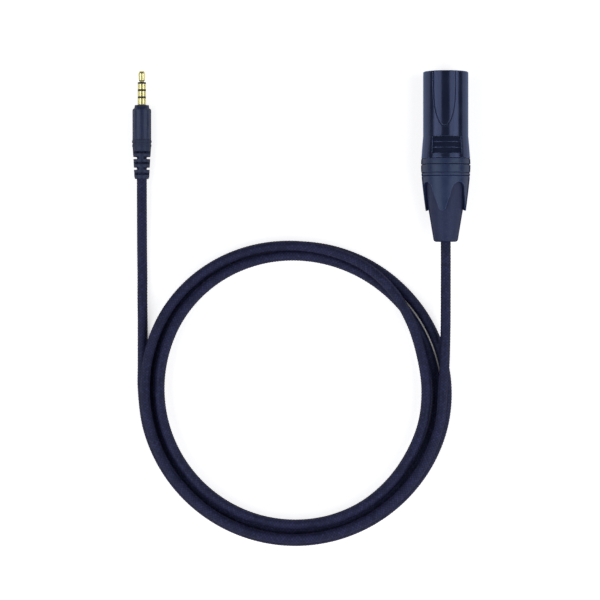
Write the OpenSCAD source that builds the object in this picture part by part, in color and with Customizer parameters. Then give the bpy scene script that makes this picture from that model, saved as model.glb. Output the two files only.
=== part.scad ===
// Balanced microphone cable: a four-pole 3.5 mm jack plug, a braided cord put away in a round
// coil, and a male three-contact cable connector with a screwed boot.
//
// The cable lies flat on the plane z = 0. Both plugs point along +Y, the cord runs to -Y.
// Inside each plug's own frame, +Z runs from its front end back towards the cord.

/* [Layout] */
// Distance between the axes of the two plugs
plug_spacing = 128; // [110:1:150]
// Distance that the jack's tip stands in front of the connector's rim
tip_lead = 1; // [-5:0.5:8]

/* [Cord] */
// Outside diameter of the braided cord
cord_d = 4.2; // [3.8:0.1:4.3]
// Radius of the coil's outer lane, in which the first turn lies
coil_r = 64.6; // [64:0.1:66]
// Distance of the coil's centre behind the middle of the plugs
coil_back = 98; // [92:1:110]
// Distance of the coil's centre to the left of the middle of the plugs
coil_left = 2.3; // [0:0.1:5]
// Distance between the two lanes of the coil's lower layer
lane_pitch = 4.8; // [4.75:0.05:5.2]
// Height of the upper layer of turns above the lower one
layer_rise = 5; // [4.9:0.05:5.4]
// Depth by which the coil is flattened on its far side
coil_flat = 3.7; // [0:0.1:4]
// Running gap between the cord and the parts that slide on it
cord_gap = 0.2; // [0.15:0.01:0.3]

/* [Connector shell] */
// Outside radius of the shell's straight nose
nose_r = 9.5; // [9.3:0.05:9.7]
// Length of the straight nose
nose_len = 27; // [26.5:0.1:28]
// Whole length of the shell
shell_len = 36.3; // [35.8:0.1:37]
// Outside radius of the shell's flared rear end
shell_end_r = 10.25; // [10.1:0.05:10.3]
// Radius of the socket's bore
socket_r = 8.05; // [7.9:0.01:8.08]
// Depth of the socket from the rim to the insert's face
socket_depth = 15.5; // [14.5:0.1:16]
// Radius of the threaded bore at the shell's rear end
thread_r = 8.45; // [8.4:0.01:8.6]
// Edge break at the rim
rim_break = 0.3; // [0.1:0.05:0.5]
// Width of the engraved line on the nose
line_w = 0.6; // [0.3:0.05:0.6]
// Depth of the engraved line
line_depth = 0.3; // [0.15:0.05:0.4]
// Half of the engraved tongue's width
tongue_w = 4.5; // [3.5:0.1:5]
// Distance from the rim to the engraved tongue's end
tongue_len = 23.3; // [18:0.1:24]
// Distance from the rim at which the tongue starts to narrow
tongue_start = 8; // [4:0.5:12]
// Sideways place of the engraved tongue
tongue_left = 0.95; // [0:0.05:1.2]
// Angle over which each thumb grip runs round the shell
grip_angle = 76; // [50:1:90]
// Number of steps in each thumb grip
grip_steps = 3; // [2:1:4]
// Depth of each step of the thumb grip
grip_depth = 0.55; // [0.3:0.05:0.6]
// Length of the plain flare behind the thumb grips
grip_land = 1.8; // [1:0.1:3]

/* [Insert and contacts] */
// Radius of the insulating insert
insert_r = 8.15; // [8.1:0.01:8.25]
// Thickness of the insulating insert
insert_len = 9.9; // [8.5:0.1:10.5]
// Sliding gap around the insert and behind its stop
insert_gap = 0.05; // [0.03:0.01:0.08]
// Radius of a contact where it is bare
contact_r = 1.18; // [1.1:0.01:1.25]
// Step in from a bare contact to its shank inside the plug
shank_step = 0.22; // [0.2:0.01:0.25]
// Gap around a shank in its hole
shank_gap = 0.03; // [0.02:0.01:0.05]
// Distance of the contacts' tips behind the rim
contact_back = 2.7; // [1.5:0.1:4]
// Length of a contact's tapered tip
contact_taper = 1.5; // [1:0.1:2]
// Distance between the two upper contacts
contact_spread = 7.62; // [7.4:0.02:7.8]
// Height of the upper contacts above the lower one
contact_rise = 6.35; // [6.2:0.05:6.5]
// Height of the upper contacts above the axis
contact_up = 2.03; // [1.9:0.01:2.15]
// Radius of a solder cup
cup_r = 1.5; // [1.4:0.05:1.6]
// Length of a solder cup
cup_len = 4.5; // [3.5:0.1:4.6]
// Wall of a solder cup
cup_wall = 0.4; // [0.3:0.05:0.5]

/* [Chuck] */
// Outside radius of the chuck's front skirt
skirt_r = 6.9; // [6.75:0.05:7]
// Wall of the front skirt
skirt_wall = 0.7; // [0.5:0.05:0.8]
// Distance between the insert and the chuck's skirt
skirt_gap = 0.3; // [0.25:0.05:0.6]
// Length of the front skirt up to the collet
skirt_len = 11; // [10.7:0.1:11.5]
// Length of the collet that grips the cord
collet_len = 13.3; // [11:0.1:13.5]
// Outside radius of the collet at its front
collet_r = 5; // [4.6:0.1:5.2]
// Outside radius of the collet at its rear end
collet_end_r = 3.6; // [3.2:0.1:3.8]
// Width of the collet's four slits
slit_w = 0.8; // [0.5:0.1:1.2]
// Length of the collet's four slits
slit_len = 9; // [6:0.5:10]

/* [Boot] */
// Open seam between the shell and the collar
seam = 0.3; // [0.25:0.05:0.5]
// Length of the collar ring
collar_len = 7.2; // [6.5:0.1:7.6]
// Greatest radius of the collar ring
collar_r = 10.38; // [10.3:0.02:10.6]
// Distance of the collar ring's widest place behind its front
collar_crown = 3.2; // [2.6:0.1:4]
// Length over which the boot stays nearly as wide behind that place
boot_shoulder = 5; // [4:0.5:7]
// Radius of the seat that holds the collar ring
collar_seat_r = 8.95; // [8.8:0.05:9.1]
// Gap between the collar ring and its seat
collar_gap = 0.05; // [0.03:0.01:0.1]
// Depth of the grooves round the collar ring
groove_depth = 0.35; // [0.2:0.05:0.45]
// Width of the grooves round the collar ring
groove_w = 0.5; // [0.3:0.05:0.6]
// Distance of the front groove from the collar ring's front edge
groove_inset = 2.1; // [1.2:0.1:2.2]
// Distance of the rear groove from the collar ring's rear edge
rear_inset = 1.1; // [1:0.1:2]
// Length of the hard boot behind the seam
boot_len = 21.7; // [21:0.1:23]
// Outside radius of the hard boot at its rear end
boot_end_r = 8.45; // [8.3:0.05:8.8]
// Wall of the hard boot over the soft sleeve
boot_wall = 1.25; // [1:0.05:1.4]
// Length of the threaded spigot
spigot_len = 7.1; // [6:0.1:7.5]
// Radial gap between the spigot and the shell's thread bore
thread_gap = 0.15; // [0.1:0.01:0.2]
// Depth of the thread's grooves
thread_depth = 0.2; // [0.1:0.05:0.3]
// Pitch of the thread
thread_pitch = 1.5; // [1:0.1:1.8]
// Radial gap between the chuck and the boot
chuck_gap = 0.2; // [0.15:0.01:0.25]
// Number of windows in the hard boot
window_count = 4; // [3:1:4]
// Angle of the first window from straight up
window_turn = 32; // [0:1:90]
// Half of a window's width where its round end meets its sides
window_r = 3.2; // [2.5:0.1:3.4]
// Half of a window's width where the round tips beside it start
window_end = 4.75; // [4.2:0.05:5]
// Length of the round tips that are left between the windows
window_tip = 1.9; // [1:0.1:2]
// Distance of the windows' round ends behind the collar ring
window_back = 2.6; // [2.4:0.1:4]
// Length of the soft tail behind the hard boot
tail_len = 13; // [11:0.1:15]
// Radius of the soft tail at its rear end
tail_r = 5.2; // [4.8:0.1:5.6]
// Round at the soft tail's rear edge
tail_round = 1.2; // [0.5:0.1:1.4]
// Gap between the soft sleeve and the hard boot
sleeve_gap = 0.05; // [0.03:0.01:0.1]
// Radius of the soft sleeve's cavity round the collet
cavity_r = 4.6; // [4.5:0.05:4.8]

/* [Jack plug] */
// Radius of the plug's contacts
jack_r = 1.75; // [1.7:0.01:1.8]
// Length of the tip contact up to the first insulating band
tip_len = 4.8; // [4.4:0.1:5.2]
// Greatest radius of the tip contact
tip_r = 1.45; // [1.3:0.05:1.6]
// Radius of the groove behind the tip
waist_r = 0.95; // [0.85:0.05:1.1]
// Length of each insulating band
band_len = 0.75; // [0.5:0.05:0.9]
// Length of each ring contact
ring_len = 2.3; // [2:0.1:2.5]
// Length of the whole plug in front of its handle
plug_len = 14.5; // [14:0.1:15.5]
// Radius of the tip's rod inside the plug
rod_r = 0.45; // [0.4:0.01:0.48]
// Wall of the ring contacts' tubes inside the plug
tube_wall = 0.17; // [0.14:0.01:0.18]
// Wall of the insulating tubes inside the plug
film_wall = 0.12; // [0.1:0.01:0.13]
// Gap between the nested tubes
nest_gap = 0.03; // [0.02:0.005:0.035]

/* [Jack handle] */
// Length of the neck in front of the barrel
neck_len = 1.5; // [1.3:0.1:2]
// Radius of the neck at its front
neck_r = 2.95; // [2.7:0.05:3.1]
// Length of the barrel
barrel_len = 13; // [12.5:0.1:14]
// Outside radius of the barrel
barrel_r = 3.94; // [3.8:0.02:4.1]
// Wall of the barrel
barrel_wall = 0.6; // [0.5:0.05:0.7]
// Gap between the barrel and what it holds
barrel_gap = 0.05; // [0.03:0.01:0.08]
// Height of the two beads behind the barrel
bead_rise = 0.2; // [0.1:0.01:0.3]
// Length of each bead
bead_len = 0.9; // [0.7:0.1:1.2]
// Distance between the starts of the two beads
bead_pitch = 1.7; // [1.5:0.1:2]
// Length of the strain relief
relief_len = 16.6; // [16:0.1:18]
// Radius of the strain relief at its rear end
relief_end_r = 3.15; // [3:0.05:3.3]
// Width of the slots in the strain relief
slot_w = 1; // [0.8:0.1:1.3]
// Distance between one side slot and the next
slot_pitch = 4.5; // [4.2:0.05:4.6]
// Distance of the first side slot behind the barrel
slot_back = 7.3; // [7:0.1:8]
// Width of the ribs that join the strain relief's rings
rib_w = 1.9; // [1.4:0.1:2.4]
// Wall of the moulding inside the barrel
mould_wall = 0.8; // [0.6:0.05:0.85]

/* [Hidden] */
$fn = 64;

// A cut reaches this far past the surface it opens
over = 1;
cord_r = cord_d / 2;

// Stations along the connector, measured from the rim
insert_end = socket_depth + insert_len;
seam_end = shell_len + seam;
collar_end = seam_end + collar_len;
boot_end = seam_end + boot_len;
tail_end = boot_end + tail_len;
skirt_start = insert_end + skirt_gap;
collet_start = skirt_start + skirt_len;
collet_end = collet_start + collet_len;
sleeve_lap = 0.5;
sleeve_start = collar_end + window_back - sleeve_lap;

// Stations along the jack, measured from its tip
band_1 = tip_len;
ring_1 = band_1 + band_len;
band_2 = ring_1 + ring_len;
ring_2 = band_2 + band_len;
band_3 = ring_2 + ring_len;
sleeve_1 = band_3 + band_len;
barrel_start = plug_len + neck_len;
barrel_end = barrel_start + barrel_len;
relief_end = barrel_end + relief_len;

// Places of the two plugs. The box round them has its middle at x = 0 and y = 0
bead_r = barrel_r + bead_rise;
jack_x = -plug_spacing / 2 + (bead_r - collar_r) / 2;
xlr_x = jack_x + plug_spacing;
plugs_depth = max(tail_end, relief_end - tip_lead) + max(tip_lead, 0);
rim_y = plugs_depth / 2 - max(tip_lead, 0);
tip_y = rim_y + tip_lead;

// Contacts of the connector, seen from the cord's side: left, right and lower
contacts = [
    [-contact_spread / 2, contact_up],
    [contact_spread / 2, contact_up],
    [0, contact_up - contact_rise]
];

// Radii of the nested tubes inside the jack plug, from the inside out
jack_tube_r = jack_r - shank_step;
film_1 = rod_r + nest_gap;
tube_1 = film_1 + film_wall + nest_gap;
film_2 = tube_1 + tube_wall + nest_gap;
tube_2 = film_2 + film_wall + nest_gap;
film_3 = tube_2 + tube_wall + nest_gap;
tube_3 = film_3 + film_wall + nest_gap;

// How far the nested tubes run back past the plug, the inner ones further for soldering
tail_step = 1.5;
sleeve_tail = barrel_start + 2.4;
ring_2_tail = sleeve_tail + tail_step;
ring_1_tail = ring_2_tail + tail_step;
tip_tail = ring_1_tail + tail_step;

// Wires
wire_r = 0.6;
conductor_r = 0.45;
jack_wire_r = 0.3;
wire_face_gap = 0.1;
wire_spread = 1.15;
xlr_jacket_lap = 0.5;
jack_jacket_lap = 1.8;
xlr_cord_start = collet_start - xlr_jacket_lap;
jack_cord_start = barrel_end - jack_jacket_lap;

// The coil. It starts on the left in the outer lane and moves into the inner lane of the lower layer
// Then it climbs, lies over the inner lane, crosses to the outer lane and ends on the right
coil_turns = 3.5;
rings_per_turn = 24;
coil_sides = 6;
lead_sides = 8;
coil_centre = [-coil_left, -coil_back];

// Moves of the coil: the turns at which each starts and ends, and how far it goes inward, in lanes
lane_moves = [[0.64, 0.97, 1], [1.66, 1.98, 0.55], [2.3, 2.44, 0.3], [2.51, 2.69, -1.6], [3.15, 3.5, 0.13]];
// The same for its climbs, in layers
climbs = [[1.56, 1.93, 1], [3.25, 3.5, 0.15]];

// The flattened side: its middle and its reach to both sides, as angles round the coil
flat_middle = 68.5;
flat_reach = 90;

function smooth(t) = let (u = min(max(t, 0), 1)) u * u * (3 - 2 * u);
// The sum of a list's moves after u turns
function moved(moves, u) =
    [for (m = moves) m[2] * smooth((u - m[0]) / (m[1] - m[0]))] * [for (m = moves) 1];

function coil_point(u) =
    let (
        angle = 180 + 360 * u,
        off = abs((angle - flat_middle + 180) % 360 - 180),
        radius = coil_r - lane_pitch * moved(lane_moves, u) - coil_flat * smooth(1 - off / flat_reach),
        height = cord_r + layer_rise * moved(climbs, u)
    )
    [coil_centre.x + radius * cos(angle), coil_centre.y + radius * sin(angle), height];

coil_steps = round(coil_turns * rings_per_turn);
coil_loops = [for (i = [0:coil_steps]) coil_point(i / rings_per_turn)];
straight = [0, cord_d, 0];
coil_start = coil_loops[0] + straight;
coil_end = coil_loops[coil_steps] + straight;
coil_points = concat([coil_start], coil_loops, [coil_end]);

// Least gap of the coil to itself, between rings at least half a turn apart
coil_gap = min([
    for (i = [0:coil_steps]) for (j = [i + rings_per_turn / 2:1:coil_steps])
        norm(coil_loops[i] - coil_loops[j])
]) - cord_d;
echo(coil_gap = coil_gap);

// Free stretches of the cord: from each plug's end, along chosen points, to the coil
jack_exit = [jack_x, tip_y - relief_end, bead_r];
xlr_exit = [xlr_x, rim_y - tail_end, collar_r];
jack_lead_points = [
    [-67.1, -20, 4.05], [-67.1, -30, 3.25], [-67.1, -40, 2.4], [-67, -50, cord_r],
    [-67, -60, cord_r], [-66.9, -70, cord_r], [-66.9, -80, cord_r], [-66.9, -88, cord_r]
];
xlr_lead_points = [
    [60.9, -46, 10.4], [60.9, -54, 10.3], [60.9, -62, 10],
    [60.9, -70, 9.5], [60.8, -78, 8.9], [60.6, -86, 8.4]
];

// Points of a curve that leaves a towards b and arrives at c
function curve(a, b, c, n) = [
    for (i = [0:n])
        let (t = i / n)
        (1 - t) * (1 - t) * a + 2 * t * (1 - t) * b + t * t * c
];

// Unit vector along v
function unit(v) = v / norm(v);

// Ring of points round the route's point i, square to the route
function tube_ring(route, i, r, sides) =
    let (
        last = len(route) - 1,
        along = unit(route[min(i + 1, last)] - route[max(i - 1, 0)]),
        side = unit(cross(along, [0, 0, 1])),
        up = cross(side, along)
    )
    [for (k = [0:sides - 1]) route[i] + r * (cos(360 * k / sides) * side + sin(360 * k / sides) * up)];

// Closed tube of one cord along a route
module tube(route, r, sides) {
    rings = len(route);
    points = [for (i = [0:rings - 1]) each tube_ring(route, i, r, sides)];
    walls = [
        for (i = [0:rings - 2]) for (k = [0:sides - 1])
            let (
                a = i * sides + k,
                b = i * sides + (k + 1) % sides
            )
            each [[a, b, b + sides], [a, b + sides, a + sides]]
    ];
    first = [for (k = [1:sides - 2]) [0, k + 1, k]];
    top = (rings - 1) * sides;
    final = [for (k = [1:sides - 2]) [top, top + k, top + k + 1]];
    polyhedron(points = points, faces = concat(walls, first, final));
}

// Places a child drawn in the connector's own frame
module at_xlr() {
    translate([xlr_x, rim_y, collar_r])
        rotate([90, 0, 0])
            children();
}

// Places a child drawn in the jack's own frame
module at_jack() {
    translate([jack_x, tip_y, bead_r])
        rotate([90, 0, 0])
            children();
}

// Round body from an outline of [radius, station] points
module turned(outline) {
    rotate_extrude()
        polygon(outline);
}

// Bore from one station to another
module bore(r, from, to) {
    translate([0, 0, from])
        cylinder(r = r, h = to - from);
}

// Hollow cylinder from one station to another
module pipe(r_out, r_in, from, to) {
    difference() {
        bore(r_out, from, to);
        bore(r_in, from - over, to + over);
    }
}

// Straight wire between two points
module wire(a, b, r) {
    v = b - a;
    translate(a)
        rotate([0, acos(v.z / norm(v)), atan2(v.y, v.x)])
            cylinder(r = r, h = norm(v));
}

// Outside of the hard boot and of the collar ring: one bulging line
collar_top = seam_end + collar_crown;
shoulder_fall = 0.1;
boot_knee = [collar_r - shoulder_fall, collar_top + boot_shoulder];
boot_line = curve([collar_r, collar_top], boot_knee, [boot_end_r, boot_end], 12);
function boot_radius(s) = lookup(s, [for (p = boot_line) [p.y, p.x]]);
collar_rear_r = boot_radius(collar_end);

// Broken edges of the seam between the collar ring and the boot
ring_break = 0.25;

// The collar ring's front stands this much proud of the shell
collar_proud = 0.03;
collar_front_r = shell_end_r + collar_proud;

// Radius of the soft sleeve where it leaves the hard boot
sleeve_mouth_r = boot_end_r - boot_wall - sleeve_gap;

/* Cord */

module coil() {
    color([0.09, 0.09, 0.16])
        tube(coil_points, cord_r, coil_sides);
}

module jack_lead() {
    color([0.09, 0.09, 0.16])
        tube(concat([jack_exit], jack_lead_points, [coil_start]), cord_r, lead_sides);
}

module xlr_lead() {
    color([0.09, 0.09, 0.16])
        tube(concat([coil_end], [for (i = [1:len(xlr_lead_points)])
            xlr_lead_points[len(xlr_lead_points) - i]], [xlr_exit]), cord_r, lead_sides);
}

/* Connector */

// Tongue's outline on the nose, w wider on every side than the middle of the line
module tongue(w) {
    half = tongue_w + w;
    reach = tongue_len - tongue_start + w;
    polygon(concat(
        [[-half, -over], [half, -over]],
        [for (i = [0:14]) let (t = 180 * i / 14) [half * cos(t), tongue_start + reach * sin(t)]]
    ));
}

// Line engraved along the tongue's outline, as deep as line_depth
module tongue_line() {
    difference() {
        translate([-tongue_left, nose_r / 2, 0])
            rotate([90, 0, 180])
                mirror([1, 0, 0])
                    linear_extrude(height = nose_r)
                        difference() {
                            tongue(line_w / 2);
                            tongue(-line_w / 2);
                        }
        bore(nose_r - line_depth, -2 * over, shell_len);
    }
}

// Stepped recess for the thumb, cut round the flare
module thumb_grip() {
    start_gap = 0.4;
    step_rise = 0.12;
    step_lip = 0.05;
    grip_start = nose_len + start_gap;
    step_len = (shell_len - grip_start - grip_land) / grip_steps;
    rotate([0, 0, 90 - grip_angle / 2])
        for (i = [0:grip_steps - 1]) {
            start = grip_start + i * step_len;
            deep = nose_r - grip_depth + i * step_rise;
            rotate_extrude(angle = grip_angle)
                polygon([
                    [deep, start],
                    [shell_end_r + over, start],
                    [shell_end_r + over, start + step_len],
                    [deep + grip_depth - step_lip, start + step_len]
                ]);
        }
}

module xlr_shell() {
    flare_rise = 0.25;
    flare_back = 2.5;
    flare_knee = [nose_r + flare_rise, nose_len + flare_back];
    color([0.06, 0.06, 0.11])
        at_xlr()
            difference() {
                turned(concat(
                    [[0, 0], [nose_r - rim_break, 0], [nose_r, rim_break]],
                    curve([nose_r, nose_len], flare_knee, [shell_end_r, shell_len], 5),
                    [[0, shell_len]]
                ));
                bore(socket_r, -over, shell_len);
                bore(insert_r + insert_gap, socket_depth - insert_gap, shell_len);
                bore(thread_r, insert_end + insert_gap, shell_len + over);
                tongue_line();
                thumb_grip();
                rotate([0, 0, 180])
                    thumb_grip();
            }
}

module xlr_insert() {
    color([0.13, 0.13, 0.15])
        at_xlr()
            difference() {
                bore(insert_r, socket_depth, insert_end);
                for (p = contacts)
                    translate(p)
                        bore(contact_r - shank_step + shank_gap, socket_depth - over, insert_end + over);
            }
}

module xlr_contact(i) {
    shank_r = contact_r - shank_step;
    blunt_r = 0.6 * contact_r;
    cup_start = insert_end + shank_gap;
    cup_floor = 1;
    color([0.83, 0.68, 0.32])
        at_xlr()
            translate(contacts[i])
                difference() {
                    turned([
                        [0, contact_back],
                        [blunt_r, contact_back],
                        [contact_r, contact_back + contact_taper],
                        [contact_r, socket_depth - shank_gap],
                        [shank_r, socket_depth - shank_gap],
                        [shank_r, cup_start],
                        [cup_r, cup_start],
                        [cup_r, cup_start + cup_len],
                        [0, cup_start + cup_len]
                    ]);
                    bore(cup_r - cup_wall, cup_start + cup_floor, cup_start + cup_len + over);
                }
}

// Wire from inside a solder cup to the end of the cord's jacket
module xlr_wire(i) {
    p = contacts[i];
    in_cup = 2;
    past_cup = 0.7;
    from = [p.x, p.y, insert_end + in_cup];
    knee = [p.x, p.y, insert_end + cup_len + past_cup];
    hold = wire_spread * unit(p);
    color([[0.75, 0.12, 0.1], [0.85, 0.85, 0.82], [0.15, 0.35, 0.7]][i])
        at_xlr() {
            wire(from, knee + [0, 0, wire_r / 2], conductor_r);
            wire(knee, [hold.x, hold.y, xlr_cord_start - wire_face_gap - wire_r / 2], wire_r);
        }
}

module xlr_cable_end() {
    color([0.09, 0.09, 0.16])
        at_xlr()
            bore(cord_r, xlr_cord_start, tail_end);
}

module xlr_chuck() {
    inner = skirt_r - skirt_wall;
    throat_len = 3;
    shoulder_len = 1.5;
    color([0.2, 0.2, 0.22])
        at_xlr()
            difference() {
                turned([
                    [cord_r + cord_gap, collet_end],
                    [cord_r + cord_gap, collet_start],
                    [inner, collet_start - throat_len],
                    [inner, skirt_start],
                    [skirt_r, skirt_start],
                    [skirt_r, collet_start],
                    [collet_r, collet_start + shoulder_len],
                    [collet_end_r, collet_end]
                ]);
                for (a = [0, 90])
                    rotate([0, 0, a + 45])
                        translate([-collet_r, -slit_w / 2, collet_end - slit_len])
                            cube([2 * collet_r, slit_w, slit_len + over]);
            }
}

// Outline of one window in the hard boot, across and along the boot. Beside it, round tips are left
module boot_window() {
    top = collar_end + window_back + window_r;
    tip_spread = 1.05;
    flank = [
        for (i = [0:5])
            let (t = 90 * i / 5)
            [window_end + tip_spread * (1 - cos(t)), boot_end - window_tip * (1 - sin(t))]
    ];
    polygon(concat(
        [for (i = [0:10]) let (t = 180 * i / 10) [window_r * cos(t), top - window_r * sin(t)]],
        [for (p = flank) [-p.x, p.y]],
        [[-window_end - tip_spread, boot_end + over], [window_end + tip_spread, boot_end + over]],
        [for (i = [len(flank) - 1:-1:0]) flank[i]]
    ));
}

module xlr_boot() {
    window_floor = 4.5;
    spigot_start = seam_end - spigot_len;
    spigot_r = thread_r - thread_gap;
    thread_start = spigot_start + 0.6;
    thread_runout = 0.9;
    grooves = floor((seam_end - thread_start - thread_runout) / thread_pitch);
    line = [for (p = boot_line) if (p.y > collar_end + ring_break) p];
    front = [boot_radius(collar_end + ring_break), collar_end + ring_break];
    lining = [for (i = [len(line) - 1:-1:0]) if (line[i].y > sleeve_start) line[i] - [boot_wall, 0]];
    lining_start_r = boot_radius(sleeve_start) - boot_wall;
    color([0.1, 0.11, 0.18])
        at_xlr()
            difference() {
                turned(concat(
                    [[skirt_r + chuck_gap, spigot_start], [spigot_r, spigot_start], [spigot_r, seam_end]],
                    [[collar_seat_r, seam_end], [collar_seat_r, collar_end]],
                    [[collar_rear_r - ring_break, collar_end], front],
                    line,
                    lining,
                    [[lining_start_r, sleeve_start], [skirt_r + chuck_gap, sleeve_start]]
                ));
                for (i = [0:grooves - 1])
                    pipe(spigot_r + over, spigot_r - thread_depth,
                        thread_start + i * thread_pitch, thread_start + (i + 0.5) * thread_pitch);
                for (i = [0:window_count - 1])
                    rotate([0, 0, 90 - window_turn + i * 360 / window_count])
                        translate([window_floor, 0, 0])
                            rotate([90, 0, 90])
                                linear_extrude(height = collar_r)
                                    boot_window();
            }
}

module collar_ring() {
    side_fall = 0.08;
    groove_floor_r = collar_r - side_fall - groove_depth;
    bore_r = collar_seat_r + collar_gap;
    crown = [collar_r, seam_end + 1.5];
    rear = collar_end - collar_gap;
    line = [for (p = boot_line) if (p.y > collar_top && p.y < collar_end - ring_break) p];
    color([0.12, 0.13, 0.2])
        at_xlr()
            difference() {
                turned(concat(
                    [[bore_r, seam_end]],
                    curve([collar_front_r, seam_end], crown, [collar_r, collar_top], 4),
                    line,
                    [[boot_radius(collar_end - ring_break), collar_end - ring_break]],
                    [[collar_rear_r - ring_break, rear], [bore_r, rear]]
                ));
                for (s = [seam_end + groove_inset, collar_end - rear_inset - groove_w])
                    pipe(collar_r + over, groove_floor_r, s, s + groove_w);
            }
}

module xlr_boot_sleeve() {
    lining = [for (p = boot_line) if (p.y > sleeve_start + sleeve_gap) p - [boot_wall + sleeve_gap, 0]];
    front = sleeve_start + sleeve_gap;
    cavity_end = collet_end + 1;
    cavity_taper = 2;
    edge = [tail_r - tail_round, tail_end - tail_round];
    color([0.13, 0.13, 0.18])
        at_xlr()
            turned(concat(
                [[cavity_r, front], [boot_radius(front) - boot_wall - sleeve_gap, front]],
                lining,
                [for (i = [0:5]) let (t = 90 * i / 5) edge + tail_round * [cos(t), sin(t)]],
                [[cord_r + cord_gap, tail_end], [cord_r + cord_gap, cavity_end + cavity_taper]],
                [[cavity_r, cavity_end]]
            ));
}

/* Jack */

module jack_tip() {
    point_r = 0.45 * tip_r;
    cheek_r = 0.86 * tip_r;
    cone_r = 0.93 * tip_r;
    cheek_back = 0.5;
    widest_back = 1.1;
    cone_len = 0.3;
    waist_len = 0.5;
    color([0.85, 0.7, 0.3])
        at_jack()
            turned([
                [0, 0],
                [point_r, 0],
                [cheek_r, cheek_back],
                [tip_r, widest_back],
                [cone_r, tip_len - waist_len - cone_len],
                [waist_r, tip_len - waist_len],
                [waist_r, tip_len - nest_gap],
                [rod_r, tip_len - nest_gap],
                [rod_r, tip_tail],
                [0, tip_tail]
            ]);
}

// One insulating band, with the thin tube that lines the contact behind it
module jack_insulator(r, start, tail) {
    color([0.06, 0.06, 0.07])
        at_jack()
            turned([
                [r, start],
                [jack_r, start],
                [jack_r, start + band_len - nest_gap],
                [r + film_wall, start + band_len - nest_gap],
                [r + film_wall, tail],
                [r, tail]
            ]);
}

// One ring contact, with the tube that carries it back to the handle
module jack_ring(r, start, tail) {
    color([0.85, 0.7, 0.3])
        at_jack()
            turned([
                [r, start],
                [jack_r, start],
                [jack_r, start + ring_len - nest_gap],
                [r + tube_wall, start + ring_len - nest_gap],
                [r + tube_wall, tail],
                [r, tail]
            ]);
}

module jack_sleeve() {
    color([0.85, 0.7, 0.3])
        at_jack()
            turned([
                [tube_3, sleeve_1],
                [jack_r, sleeve_1],
                [jack_r, plug_len - nest_gap],
                [jack_tube_r, plug_len - nest_gap],
                [jack_tube_r, sleeve_tail],
                [tube_3, sleeve_tail]
            ]);
}

module jack_neck() {
    neck_flare = 0.28;
    color([0.07, 0.07, 0.12])
        at_jack()
            turned([
                [jack_tube_r + nest_gap, plug_len],
                [neck_r, plug_len],
                [neck_r + neck_flare, barrel_start - nest_gap],
                [jack_tube_r + nest_gap, barrel_start - nest_gap]
            ]);
}

module jack_barrel() {
    throat_r = jack_r + 1;
    edge = [0.35, 0.5];
    color([0.1, 0.11, 0.18])
        at_jack()
            turned([
                [throat_r, barrel_start],
                [barrel_r - edge.x, barrel_start],
                [barrel_r, barrel_start + edge.y],
                [barrel_r, barrel_end - barrel_gap],
                [barrel_r - barrel_wall, barrel_end - barrel_gap],
                [barrel_r - barrel_wall, barrel_start + barrel_wall],
                [throat_r, barrel_start + barrel_wall]
            ]);
}

module jack_inner_mould() {
    mould_r = barrel_r - barrel_wall - barrel_gap;
    mould_start = barrel_start + barrel_wall + barrel_gap;
    face_len = 1.2;
    step_len = 0.4;
    color([0.2, 0.2, 0.22])
        at_jack()
            turned([
                [jack_tube_r + nest_gap, mould_start],
                [mould_r, mould_start],
                [mould_r, barrel_end - barrel_gap],
                [cord_r + barrel_gap, barrel_end - barrel_gap],
                [cord_r + barrel_gap, jack_cord_start],
                [mould_r - mould_wall, jack_cord_start - step_len],
                [mould_r - mould_wall, mould_start + face_len],
                [jack_tube_r + nest_gap, mould_start + face_len]
            ]);
}

// Slot in the strain relief, open on two opposite sides. Two ribs are left between them
module relief_slot(start, turn) {
    for (m = [0, 180])
        rotate([0, 0, turn + m])
            translate([rib_w / 2, -barrel_r, start])
                cube([barrel_r, 2 * barrel_r, slot_w]);
}

module jack_strain_relief() {
    relief_r = barrel_r - 0.02;
    bead_start = barrel_end + 0.4;
    bead_fall = 0.08;
    straight_len = 3.2;
    shoulder = 0.4;
    rear_break = [0.3, 0.8];
    bore_r = cord_r + barrel_gap;
    slots_start = barrel_end + slot_back;
    color([0.11, 0.12, 0.18])
        at_jack()
            difference() {
                union() {
                    turned([
                        [bore_r, barrel_end],
                        [relief_r, barrel_end],
                        [relief_r, barrel_end + straight_len],
                        [relief_end_r + shoulder, slots_start + slot_w],
                        [relief_end_r, relief_end - rear_break.y],
                        [relief_end_r - rear_break.x, relief_end],
                        [bore_r, relief_end]
                    ]);
                    for (i = [0, 1])
                        pipe(bead_r - i * bead_fall, relief_r - 0.5, bead_start + i * bead_pitch,
                            bead_start + i * bead_pitch + bead_len);
                }
                for (i = [0, 1])
                    relief_slot(slots_start + i * slot_pitch, 0);
                for (i = [0:2])
                    relief_slot(slots_start + (i - 0.5) * slot_pitch, 90);
            }
}

// Wire from a contact's rear end to the end of the cord's jacket
module jack_wire(i) {
    starts = [tip_tail, ring_1_tail, sleeve_tail];
    outs = [0, tube_1 + jack_wire_r, tube_3 + jack_wire_r];
    holds = [0, wire_spread, wire_spread];
    turns = [0, 90, 210];
    way = [cos(turns[i]), sin(turns[i])];
    from = concat(outs[i] * way, starts[i] + wire_face_gap);
    to = concat(holds[i] * way, jack_cord_start - wire_face_gap);
    color([[0.75, 0.12, 0.1], [0.85, 0.85, 0.82], [0.15, 0.35, 0.7]][i])
        at_jack()
            wire(from, to, jack_wire_r);
}

module jack_cable_end() {
    color([0.09, 0.09, 0.16])
        at_jack()
            bore(cord_r, jack_cord_start, relief_end);
}

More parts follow.
